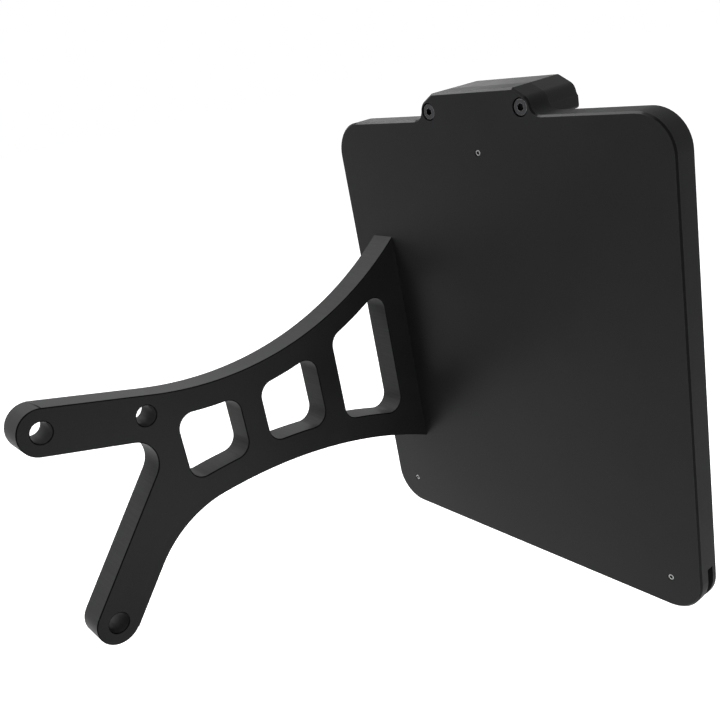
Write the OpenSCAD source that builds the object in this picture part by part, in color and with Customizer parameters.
// Side mount license plate holder: an arm cut from flat bar, a milled plate carrier that the
// plate slides into from below, and a lamp on the carrier's top edge.
// Frame: +X runs from the arm to the back of the vehicle, +Z is up, +Y points inboard.
// The origin is the centre of the main bolt hole on the arm's inboard face.

/* [License plate] */
// Width of the plate that the carrier takes
plate_w = 180; // [150:1:240]
// Height of the plate that the carrier takes
plate_h = 200; // [150:1:240]
// Clearance on each side of the plate
plate_gap = 0.5; // [0.2:0.1:1.5]
// Width of the slot that the plate slides in
slot_t = 3.7; // [2:0.1:4.5]

/* [Plate carrier] */
// Thickness of the wall behind the plate
back_wall_t = 4.8; // [4.5:0.1:7]
// Thickness of the lip that holds the plate in
lip_t = 3; // [2:0.1:5]
// Side wall beside the plate
side_wall = 4; // [2.5:0.1:8]
// Height of carrier above the plate
top_wall = 4.5; // [4:0.1:10]
// Height of carrier below the plate
foot_wall = 4.9; // [2.5:0.1:10]
// How far the lip laps over the plate's edge
lip_lap = 6; // [3:0.5:12]
// Radius of the carrier's outer corners
carrier_corner_r = 16; // [10:0.5:25]
// Radius of the corners of the plate's pocket and of the window in the lip
pocket_corner_r = 8; // [3:0.5:9]
// Height to which the slot breaks out through both side walls
slot_rise = 21.6; // [18:0.1:40]
// Chamfer round the outline of the carrier, its tab and the lamp
carrier_chamfer = 0.75; // [0.3:0.05:1.2]

/* [Arm] */
// Distance from the main bolt hole to the back of the carrier
arm_reach = 189.6; // [185:0.1:220]
// Thickness of the arm
arm_t = 14.2; // [10:0.1:20]
// Distance from the carrier's inboard edge to the arm's inboard face
arm_inset = 14.6; // [2:0.1:60]
// Height of the main bolt hole above the carrier's bottom edge
bolt_height = 131.7; // [120:0.1:150]
// Width of each leg
leg_w = 20; // [18:0.1:24]
// Diameter of the three bolt holes
bolt_hole_d = 9; // [6:0.1:11]
// Chamfer along the arm's edges
arm_chamfer = 0.45; // [0.2:0.05:1]
// Angle by which the upper leg falls towards the carrier
upper_leg_fall = 16.2; // [12:0.1:20]
// Angle by which the lower leg rises towards the carrier
lower_leg_rise = 49.3; // [46:0.1:52]
// Second bolt hole behind the main one
second_hole_x = 42.8; // [30:0.1:48]
// Second bolt hole below the main one
second_hole_drop = 11.3; // [9:0.1:14]
// Lower bolt hole behind the main one
lower_hole_x = 5.2; // [0:0.1:10]
// Lower bolt hole below the main one
lower_hole_drop = 93.8; // [90:0.1:98]
// Radius of the fork between the legs
fork_r = 11; // [6:0.1:14]
// Radius of the long curve along the top edge
top_arc_r = 160; // [150:1:175]
// Where that curve leaves the upper leg's straight edge
top_arc_start = 47.1; // [44:0.1:50]
// Radius of the arch behind the lower leg
arch_r = 52.2; // [48:0.1:56]
// Where the arch leaves the lower leg's straight edge
arch_start = 28; // [24:0.1:31]
// Radius of the long curve along the bottom edge
belly_r = 244.8; // [230:0.1:260]
// Angle from upright at which the arch runs into that curve
belly_lean = 2.7; // [1:0.1:4]

/* [Arm windows] */
// Front edge of the first window
window_start = 55.4; // [53:0.1:60]
// Share of the windows' total length that the first one takes
window_1_share = 0.315; // [0.28:0.005:0.34]
// Share of the windows' total length that the second one takes
window_2_share = 0.328; // [0.28:0.005:0.34]
// Width of the ribs between the windows
rib_w = 11.9; // [9:0.1:14]
// Metal left between the third window and the carrier
end_border = 12.3; // [11.5:0.1:18]
// Radius of the windows' corners
window_corner_r = 7; // [3:0.1:10]
// Metal left above the windows
top_border = 11; // [8:0.1:14]
// Metal left below the windows
bottom_border = 12; // [8:0.1:14]

/* [Lamp] */
// Height of the tab and lamp above the carrier's top edge
tab_rise = 11.1; // [9.5:0.1:14]
// Distance between the two lamp screws
lamp_screw_span = 52.6; // [50:0.1:60]
// Height of the lamp screws above the carrier's top edge
lamp_screw_rise = 3.4; // [3:0.1:5]
// Radius of the tab's shoulders round the lamp screws
shoulder_r = 5.07; // [5:0.01:6]
// Slope of the tab's sides above the shoulders
tab_slope = 30; // [25:1:40]
// Radius of the flares that run into the carrier's top edge
flare_r = 5; // [4:0.1:7]
// How far the lamp stands out over the lip
lamp_depth = 18.1; // [15:0.1:25]
// Width of the lamp at its foot
lamp_foot_w = 64.4; // [63.8:0.1:66]
// How far the lamp hangs below the carrier's top edge
lamp_drop = 3; // [2.5:0.1:3.5]
// Rounding of the lamp's lower corners
lamp_foot_r = 1.5; // [0.5:0.1:2]
// Length of the lens along the plate
lens_len = 44; // [40:0.5:44]
// Width of the lens
lens_w = 13.2; // [12:0.1:13.5]
// Thickness of the lens
lens_t = 2.5; // [1.5:0.1:3]
// Thickness of the seal above the lens
seal_t = 0.5; // [0.3:0.1:1]
// Depth of the lamp's hollow above its underside
hollow_h = 11; // [9:0.1:11.5]
// Thickness of the circuit board
board_t = 1.6; // [1:0.1:2]
// Side of each light emitting diode
led_size = 5; // [3:0.1:6]
// Height of each light emitting diode
led_h = 1.6; // [1:0.1:2]
// Distance between the diodes
led_pitch = 12; // [8:0.1:13]
// Diameter of the passage for the lamp's lead
lead_hole_d = 3.4; // [1.8:0.1:3.6]

/* [Screws] */
// Size of the lamp's socket head screws
lamp_screw_d = 4; // [3:0.1:4]
// Length of the lamp screws under the head
lamp_screw_len = 14; // [12:0.5:16]
// Size of the set screws that hold the plate
clamp_screw_d = 3; // [2.5:0.1:4]
// Distance of the set screws from the carrier's edges
clamp_inset = 14.6; // [12:0.1:20]
// Size of the countersunk screws that hold the arm
arm_screw_d = 6; // [4:0.1:6]
// Length of the arm screws
arm_screw_len = 14; // [12:0.5:15]
// Distance between the arm screws
arm_screw_pitch = 38; // [25:0.5:40]

/* [Hidden] */
$fn = 96;

// Cuts run this far past the faces they open
over = 1;
// Round ends stand out this far, so that they cross the straight edges cleanly
proud = 0.005;
// Radial gap round a screw in its own thread, and round its shank and head in plain holes
thread_gap = 0.05;
shank_gap = 0.15;
head_gap = 0.4;
// Chamfer round the heads of the lamp screws and the outer ends of the set screws
screw_chamfer = 0.3;
// Gap between the parts inside the lamp
fit_gap = 0.1;
anodised_black = [0.11, 0.11, 0.12];
blackened_steel = [0.2, 0.2, 0.21];

// Carrier sizes that follow from the plate
carrier_w = plate_w + 2 * (plate_gap + side_wall);
carrier_h = plate_h + 2 * plate_gap + top_wall + foot_wall;
carrier_t = back_wall_t + slot_t + lip_t;
pocket_top = carrier_h - top_wall;
carrier_back = arm_reach;
carrier_front = carrier_back + carrier_t;
carrier_outer = arm_inset - carrier_w;
carrier_foot = -bolt_height;
carrier_top = carrier_foot + carrier_h;
carrier_mid = carrier_outer + carrier_w / 2;

// Directions along and across each leg, and the lower bolt hole
leg_r = leg_w / 2;
upper_dir = [cos(upper_leg_fall), -sin(upper_leg_fall)];
upper_side = [sin(upper_leg_fall), cos(upper_leg_fall)];
lower_dir = [cos(lower_leg_rise), sin(lower_leg_rise)];
lower_side = [-sin(lower_leg_rise), cos(lower_leg_rise)];
second_hole = [second_hole_x, -second_hole_drop];
lower_hole = [lower_hole_x, -lower_hole_drop];

// Where two lines cross, each given by a point and a direction
function crossing(p, d, q, e) =
    p + d * ((q[0] - p[0]) * e[1] - (q[1] - p[1]) * e[0]) / (d[0] * e[1] - d[1] * e[0]);
function unit(v) = v / norm(v);
// Height of a circle below or above its centre at a given x
function under(centre, r, x) = centre[1] - sqrt(r * r - (x - centre[0]) * (x - centre[0]));
function above(centre, r, x) = centre[1] + sqrt(r * r - (x - centre[0]) * (x - centre[0]));

// Fork between the legs, rounded where the inner edges of both legs meet
fork_corner = crossing(-leg_r * upper_side, upper_dir, lower_hole + leg_r * lower_side, lower_dir);
fork_half = (upper_leg_fall + lower_leg_rise) / 2;
fork_centre = fork_corner - fork_r / sin(fork_half) * unit(upper_dir + lower_dir);
fork_run = fork_r / tan(fork_half);

// Curves along the top and the bottom edge, each one tangent to what it runs into
top_start = leg_r * upper_side + top_arc_start * upper_dir;
top_centre = top_start + top_arc_r * upper_side;
arch_tangent = lower_hole - leg_r * lower_side + arch_start * lower_dir;
arch_centre = arch_tangent - arch_r * lower_side;
belly_dir = [-sin(belly_lean), cos(belly_lean)];
belly_start = arch_centre + arch_r * belly_dir;
belly_centre = arch_centre - (belly_r - arch_r) * belly_dir;
arm_end_top = under(top_centre, top_arc_r, arm_reach);
arm_end_foot = above(belly_centre, belly_r, arm_reach);
arm_end_mid = (arm_end_top + arm_end_foot) / 2;

// Windows between the ribs
windows_total = arm_reach - end_border - window_start - 2 * rib_w;
window_1_len = window_1_share * windows_total;
window_2_len = window_2_share * windows_total;
window_lens = [window_1_len, window_2_len, windows_total - window_1_len - window_2_len];
window_starts = [
    window_start,
    window_start + window_1_len + rib_w,
    window_start + window_1_len + window_2_len + 2 * rib_w,
];

// Outline of the tab's right side: a round shoulder, a straight slope up to the crest, and a
// flare that runs into the carrier's top edge
lamp_half_span = lamp_screw_span / 2;
shoulder = [lamp_half_span, lamp_screw_rise];
slope_way = [-cos(tab_slope), sin(tab_slope)];
slope_foot = shoulder + shoulder_r * [sin(tab_slope), cos(tab_slope)];
crest = slope_foot + (tab_rise - slope_foot[1]) / sin(tab_slope) * slope_way;
flare_gap = flare_r + shoulder_r;
flare_dz = flare_r - lamp_screw_rise;
flare = [lamp_half_span + sqrt(flare_gap * flare_gap - flare_dz * flare_dz), flare_r];
flare_start = shoulder + shoulder_r * unit(flare - shoulder);

// Lamp sizes
lamp_front = carrier_front + lamp_depth;
lamp_foot = carrier_top - lamp_drop;
foot_corner = [lamp_foot_w / 2 - lamp_foot_r, lamp_foot_r - lamp_drop];
lens_mid = carrier_front + lamp_depth / 2;
ledge = 1.4;
hollow_len = lens_len - 2 * ledge;
hollow_w = lens_w - 2 * ledge;
hollow_top = lamp_foot + hollow_h;
board_len = hollow_len - 2 * fit_gap;
board_w = hollow_w - 2 * fit_gap;
lamp_screw_head_d = 1.75 * lamp_screw_d;
counterbore_depth = lamp_screw_d + head_gap;
lead_offset = 12;
resistor_len = 3.2;
resistor_w = 1.6;
resistor_h = 0.6;

// Rectangle with round corners, centred
module round_rectangle(w, h, r) {
    square([w - 2 * r, h], center = true);
    square([w, h - 2 * r], center = true);
    for (x = [-1, 1], y = [-1, 1])
        translate([x * (w / 2 - r), y * (h / 2 - r)]) circle(r);
}

// Extrudes a profile drawn in Y and Z, from x onwards
module along_x(x, length) {
    translate([x, 0, 0]) rotate([90, 0, 90]) linear_extrude(height = length) children();
}

// Cylinder along X, from x onwards
module rod_x(x, y, z, d, length) {
    translate([x, y, z]) rotate([0, 90, 0]) cylinder(h = length, d = d);
}

// Six-sided socket along X
module socket_x(x, y, z, flats, depth) {
    translate([x, y, z]) rotate([0, 90, 0]) cylinder(h = depth, d = flats / cos(30), $fn = 6);
}

// Wedge that chamfers the straight edge from p to q of a flat part that lies on z = 0, with the
// part on the left of the way from p to q
module edge_chamfer(p, q, c) {
    way = q - p;
    translate(p) rotate(atan2(way[1], way[0])) rotate([90, 0, 90])
        linear_extrude(height = norm(way)) polygon([[-over, c + over], [-over, -over], [c + over, -over]]);
}

// Cone that chamfers a concave edge of radius r
module hollow_chamfer(centre, r, c) {
    translate([centre[0], centre[1], -over])
        cylinder(h = c + over, r1 = r + c + over, r2 = r);
}

// Disc of thickness t with a chamfer round its face at z = 0
module chamfered_disc(centre, r, t, c) {
    translate(centre) {
        cylinder(h = c, r1 = r - c, r2 = r);
        translate([0, 0, c]) cylinder(h = t - c, r = r);
    }
}

// Cuts into the face at z = 0 and into the opposite face of a flat part of thickness t
module both_faces(t) {
    children();
    translate([0, 0, t]) mirror([0, 0, 1]) children();
}

// Chamfer round one window. Its corners are hollow, and the long curves between them bulge inwards.
module window_chamfer(x0, len, c) {
    top_r = top_arc_r + top_border;
    foot_r = belly_r + bottom_border;
    r = window_corner_r;
    xs = [x0 + r, x0 + len - r];
    tops = [for (x = xs) [x, under(top_centre, top_r + r, x)]];
    feet = [for (x = xs) [x, above(belly_centre, foot_r + r, x)]];
    for (p = concat(tops, feet)) hollow_chamfer(p, r + proud, c);
    edge_chamfer(feet[0] - [r, 0], tops[0] - [r, 0], c);
    edge_chamfer(tops[1] + [r, 0], feet[1] + [r, 0], c);
    for (side = [[tops, top_centre, top_r], [feet, belly_centre, foot_r]])
        difference() {
            translate([0, 0, -over]) linear_extrude(height = c + over) polygon([
                side[0][0],
                side[0][0] + (r + 2 * c) * unit(side[1] - side[0][0]),
                side[0][1] + (r + 2 * c) * unit(side[1] - side[0][1]),
                side[0][1],
            ]);
            translate([side[1][0], side[1][1], -over])
                cylinder(h = c + over, r1 = side[2] - c - over, r2 = side[2]);
        }
}

// Outline of one window: its top and bottom edges run parallel to the arm's edges
module window_outline(x0, len) {
    top_r = top_arc_r + top_border;
    foot_r = belly_r + bottom_border;
    r = window_corner_r;
    xs = [x0 + r, x0 + len - r];
    tops = [for (x = xs) [x, under(top_centre, top_r + r, x)]];
    feet = [for (x = xs) [x, above(belly_centre, foot_r + r, x)]];
    difference() {
        polygon([
            tops[0] + r * unit(top_centre - tops[0]),
            tops[0] + [-r, 0],
            feet[0] + [-r, 0],
            feet[0] + r * unit(belly_centre - feet[0]),
            feet[1] + r * unit(belly_centre - feet[1]),
            feet[1] + [r, 0],
            tops[1] + [r, 0],
            tops[1] + r * unit(top_centre - tops[1]),
        ]);
        translate(top_centre) circle(top_r);
        translate(belly_centre) circle(foot_r);
    }
    for (c = concat(tops, feet)) translate(c) circle(r);
}

// Outline of the arm without the legs' round ends: the curves are cut out of straight lines
module arm_outline() {
    difference() {
        polygon([
            leg_r * upper_side,
            top_start,
            [arm_reach, arm_end_top],
            [arm_reach, arm_end_foot],
            belly_start,
            arch_tangent,
            lower_hole - leg_r * lower_side,
            lower_hole + leg_r * lower_side,
            fork_corner - fork_run * lower_dir,
            fork_corner - fork_run * upper_dir,
            -leg_r * upper_side,
        ]);
        translate(top_centre) circle(top_arc_r);
        translate(fork_centre) circle(fork_r);
        translate(arch_centre) circle(arch_r);
        intersection() {
            translate(belly_centre) circle(belly_r);
            translate(belly_centre) rotate(belly_lean) square([arm_reach, 2 * belly_r]);
        }
    }
}

// Chamfers along the straight edges and the hollow curves of the arm's outline
module arm_edge_chamfers(c) {
    edge_chamfer(top_start, leg_r * upper_side, c);
    edge_chamfer(-leg_r * upper_side, fork_corner - fork_run * upper_dir, c);
    edge_chamfer(fork_corner - fork_run * lower_dir, lower_hole + leg_r * lower_side, c);
    edge_chamfer(lower_hole - leg_r * lower_side, arch_tangent, c);
    hollow_chamfer(top_centre, top_arc_r, c);
    hollow_chamfer(fork_centre, fork_r, c);
    hollow_chamfer(arch_centre, arch_r, c);
    intersection() {
        hollow_chamfer(belly_centre, belly_r, c);
        translate([belly_centre[0], belly_centre[1], -over]) rotate(belly_lean)
            cube([arm_reach, 2 * belly_r, c + over]);
    }
}

module arm() {
    color(anodised_black)
    difference() {
        rotate([90, 0, 0]) difference() {
            union() {
                difference() {
                    linear_extrude(height = arm_t) arm_outline();
                    both_faces(arm_t) arm_edge_chamfers(arm_chamfer);
                }
                both_faces(arm_t) for (c = [[0, 0], lower_hole])
                    chamfered_disc(c, leg_r + proud, arm_t / 2, arm_chamfer);
            }
            for (c = [[0, 0], second_hole, lower_hole]) {
                translate([c[0], c[1], -over]) cylinder(h = arm_t + 2 * over, d = bolt_hole_d);
                translate([0, 0, arm_t]) mirror([0, 0, 1])
                    hollow_chamfer(c, bolt_hole_d / 2, arm_chamfer);
            }
            for (i = [0:2]) {
                translate([0, 0, -over]) linear_extrude(height = arm_t + 2 * over)
                    window_outline(window_starts[i], window_lens[i]);
                both_faces(arm_t) window_chamfer(window_starts[i], window_lens[i], arm_chamfer);
            }
        }
        for (i = [-1:1])
            rod_x(
                arm_reach - (arm_screw_len - back_wall_t) - 1, -arm_t / 2,
                arm_end_mid + i * arm_screw_pitch, arm_screw_d + 2 * thread_gap, 2 * arm_screw_len
            );
    }
}

// Rounded plate with a chamfer round both faces, from x = 0, with its corner at y = 0, z = 0
module chamfered_plate(w, h, t, r, c) {
    section = [[0, 0], [r - c, 0], [r, c], [r, t - c], [r - c, t], [0, t]];
    translate([0, 0, r]) linear_extrude(height = h - 2 * r)
        polygon([[0, c], [c, 0], [t - c, 0], [t, c], [t, w - c], [t - c, w], [c, w], [0, w - c]]);
    translate([0, w - r, 0]) rotate([90, 0, 0]) linear_extrude(height = w - 2 * r)
        polygon([[0, c], [c, 0], [t - c, 0], [t, c], [t, h - c], [t - c, h], [c, h], [0, h - c]]);
    for (y = [r, w - r], z = [r, h - r])
        translate([0, y, z]) rotate([0, 90, 0]) rotate_extrude() polygon(section);
}

// Block with the outline of the tab, lying on z = 0, with x = 0 at its middle and y = 0 at the
// carrier's top edge. Its right side starts with the points in foot, and the face at z = 0 has a
// chamfer of c above them.
module tab_block(length, foot, c) {
    side = concat(foot, [
        [foot[len(foot) - 1][0], flare_start[1]], flare_start, shoulder, slope_foot, crest,
    ]);
    difference() {
        linear_extrude(height = length) difference() {
            polygon(concat(side, [for (i = [len(side) - 1:-1:0]) [-side[i][0], side[i][1]]]));
            for (m = [-1, 1]) translate([m * flare[0], flare[1]]) circle(flare_r);
        }
        for (m = [0, 1]) mirror([m, 0, 0]) {
            edge_chamfer(slope_foot, crest + over * slope_way, c);
            hollow_chamfer(flare, flare_r, c);
        }
        edge_chamfer(crest + [over, 0], [-crest[0] - over, crest[1]], c);
    }
    for (m = [0, 1]) mirror([m, 0, 0]) chamfered_disc(shoulder, shoulder_r + proud, length, c);
}

module plate_carrier() {
    pocket_w = plate_w + 2 * plate_gap;
    window_w = plate_w - 2 * lip_lap;
    window_h = plate_h - 2 * lip_lap;
    window_mid = foot_wall + plate_gap + plate_h / 2;
    slot_mid = back_wall_t + slot_t / 2;
    color(anodised_black)
    translate([carrier_back, carrier_outer, carrier_foot])
    difference() {
        union() {
            chamfered_plate(carrier_w, carrier_h, carrier_t, carrier_corner_r, carrier_chamfer);
            translate([0, carrier_w / 2, carrier_h]) rotate([90, 0, 90])
                tab_block(carrier_t, [[flare[0], -2 * carrier_chamfer]], carrier_chamfer);
        }
        // Slot for the plate, open below and out through the foot of both side walls
        along_x(back_wall_t, slot_t) {
            translate([side_wall, -over]) square([pocket_w, pocket_top - pocket_corner_r + over]);
            translate([carrier_w / 2, pocket_top - pocket_corner_r])
                round_rectangle(pocket_w, 2 * pocket_corner_r, pocket_corner_r - 0.01);
            translate([-over, -over]) square([carrier_w + 2 * over, slot_rise + over]);
        }
        // Window in the lip, through which the plate is read
        along_x(back_wall_t + over, carrier_t) translate([carrier_w / 2, window_mid])
            round_rectangle(window_w, window_h, pocket_corner_r);
        // Lamp screws in counterbores
        for (m = [-1, 1]) {
            y = carrier_w / 2 + m * lamp_half_span;
            z = carrier_h + lamp_screw_rise;
            rod_x(-over, y, z, lamp_screw_d + 2 * shank_gap, carrier_t + 2 * over);
            rod_x(-over, y, z, lamp_screw_head_d + 2 * head_gap, counterbore_depth + over);
        }
        // Threaded holes for the set screws that hold the plate
        for (p = clamp_places())
            rod_x(-over, p[0], p[1], clamp_screw_d + 2 * thread_gap, back_wall_t + 2 * over);
        // Countersunk holes for the arm screws, sunk from the slot side
        for (i = [-1:1]) {
            y = -carrier_outer - arm_t / 2;
            z = arm_end_mid + i * arm_screw_pitch - carrier_foot;
            rod_x(-over, y, z, arm_screw_d + 2 * shank_gap, back_wall_t + 2 * over);
            translate([back_wall_t, y, z]) rotate([0, -90, 0])
                cylinder(h = arm_screw_d / 2, d1 = 2 * arm_screw_d + 2 * fit_gap, d2 = arm_screw_d);
        }
        // Passage for the lamp's lead, from the lamp down into the slot
        translate([slot_mid, carrier_w / 2 + lead_offset, pocket_top - over])
            cylinder(h = top_wall + lamp_screw_rise + over, d = lead_hole_d);
        rod_x(
            slot_mid, carrier_w / 2 + lead_offset, carrier_h + lamp_screw_rise,
            lead_hole_d, carrier_t
        );
    }
}

// Places of the three set screws on the carrier: top middle and both lower corners
function clamp_places() = [
    [carrier_w / 2, carrier_h - clamp_inset],
    [clamp_inset, clamp_inset],
    [carrier_w - clamp_inset, clamp_inset],
];

// Lamp body without its hollow: the tab's outline with a rounded foot, chamfered at z = 0
module lamp_body(c) {
    side_x = lamp_foot_w / 2;
    difference() {
        tab_block(lamp_depth, [[foot_corner[0], -lamp_drop], foot_corner, [side_x, foot_corner[1]]], c);
        for (m = [0, 1]) mirror([m, 0, 0])
            edge_chamfer([side_x, foot_corner[1]], [side_x, flare_r], c);
        edge_chamfer([-foot_corner[0], -lamp_drop], [foot_corner[0], -lamp_drop], c);
    }
    for (m = [0, 1]) mirror([m, 0, 0]) chamfered_disc(foot_corner, lamp_foot_r + proud, lamp_depth, c);
}

module lamp_housing() {
    color(anodised_black)
    difference() {
        translate([lamp_front, carrier_mid, carrier_top]) mirror([1, 0, 0]) rotate([90, 0, 90])
            lamp_body(carrier_chamfer);
        // Lens seat and the hollow above it
        translate([lens_mid, carrier_mid, lamp_foot - over])
            linear_extrude(height = lens_t + seal_t + over) round_rectangle(lens_w, lens_len, 2);
        translate([lens_mid, carrier_mid, lamp_foot])
            linear_extrude(height = hollow_h) round_rectangle(hollow_w, hollow_len, 2);
        // Threaded holes for the lamp screws
        for (m = [-1, 1])
            rod_x(
                carrier_front - over, carrier_mid + m * lamp_half_span, carrier_top + lamp_screw_rise,
                lamp_screw_d + 2 * thread_gap, lamp_screw_len + counterbore_depth - carrier_t + over
            );
        // Way in for the lamp's lead
        rod_x(
            carrier_front - over, carrier_mid + lead_offset, carrier_top + lamp_screw_rise,
            lead_hole_d, lamp_depth / 2
        );
    }
}

module lamp_lens() {
    color([0.9, 0.92, 0.95, 0.5])
    translate([lens_mid, carrier_mid, lamp_foot])
        linear_extrude(height = lens_t)
            round_rectangle(lens_w - 2 * fit_gap, lens_len - 2 * fit_gap, 2);
}

module lens_seal() {
    color([0.05, 0.05, 0.05])
    translate([lens_mid, carrier_mid, lamp_foot + lens_t])
        linear_extrude(height = seal_t) difference() {
            round_rectangle(lens_w - 2 * fit_gap, lens_len - 2 * fit_gap, 2);
            round_rectangle(hollow_w, hollow_len, 2);
        }
}

module lamp_board() {
    color([0.1, 0.3, 0.15])
    translate([lens_mid, carrier_mid, hollow_top - board_t])
        linear_extrude(height = board_t) round_rectangle(board_w, board_len, 2);
}

module led(i) {
    color([0.95, 0.9, 0.6])
    translate([lens_mid, carrier_mid + i * led_pitch, hollow_top - board_t - led_h / 2])
        cube([led_size, led_size, led_h], center = true);
}

module board_resistor() {
    color([0.15, 0.15, 0.15])
    translate([lens_mid, carrier_mid + 1.5 * led_pitch, hollow_top - board_t - resistor_h / 2])
        cube([resistor_len, resistor_w, resistor_h], center = true);
}

// Socket head screw with its head in the counterbore
module lamp_screw(m) {
    y = carrier_mid + m * lamp_half_span;
    z = carrier_top + lamp_screw_rise;
    head_x = carrier_back + counterbore_depth - lamp_screw_d;
    color(blackened_steel)
    difference() {
        union() {
            translate([head_x, y, z]) rotate([0, 90, 0])
                chamfered_disc([0, 0], lamp_screw_head_d / 2, lamp_screw_d, screw_chamfer);
            rod_x(head_x + lamp_screw_d / 2, y, z, lamp_screw_d, lamp_screw_d / 2 + lamp_screw_len - over);
        }
        socket_x(head_x - over, y, z, 0.75 * lamp_screw_d, lamp_screw_d / 2 + over);
    }
}

// Set screw, flush in the back wall
module clamp_screw(i) {
    p = clamp_places()[i];
    y = carrier_outer + p[0];
    z = carrier_foot + p[1];
    recess = 0.3;
    color(blackened_steel)
    difference() {
        translate([carrier_back + recess, y, z]) rotate([0, 90, 0])
            chamfered_disc([0, 0], clamp_screw_d / 2, back_wall_t - 2 * recess, screw_chamfer);
        socket_x(carrier_back + recess - over, y, z, clamp_screw_d / 2, clamp_screw_d / 2 + over);
    }
}

// Countersunk screw from the slot into the arm's end
module arm_screw(i) {
    z = arm_end_mid + i * arm_screw_pitch;
    head_x = carrier_back + back_wall_t;
    color(blackened_steel)
    difference() {
        union() {
            rod_x(head_x - arm_screw_len, -arm_t / 2, z, arm_screw_d, arm_screw_len);
            translate([head_x, -arm_t / 2, z]) rotate([0, -90, 0])
                cylinder(h = arm_screw_d / 2, d1 = 2 * arm_screw_d, d2 = arm_screw_d);
        }
        socket_x(head_x - arm_screw_d / 2, -arm_t / 2, z, arm_screw_d * 2 / 3, arm_screw_d);
    }
}

arm();
plate_carrier();
lamp_housing();
lamp_lens();
lens_seal();
lamp_board();
led(-1);  // led_outer
led(0);  // led_middle
led(1);  // led_inner
board_resistor();
lamp_screw(-1);  // lamp_screw_outer
lamp_screw(1);  // lamp_screw_inner
clamp_screw(0);  // clamp_screw_top
clamp_screw(1);  // clamp_screw_outer
clamp_screw(2);  // clamp_screw_inner
arm_screw(-1);  // arm_screw_lower
arm_screw(0);  // arm_screw_middle
arm_screw(1);  // arm_screw_upper
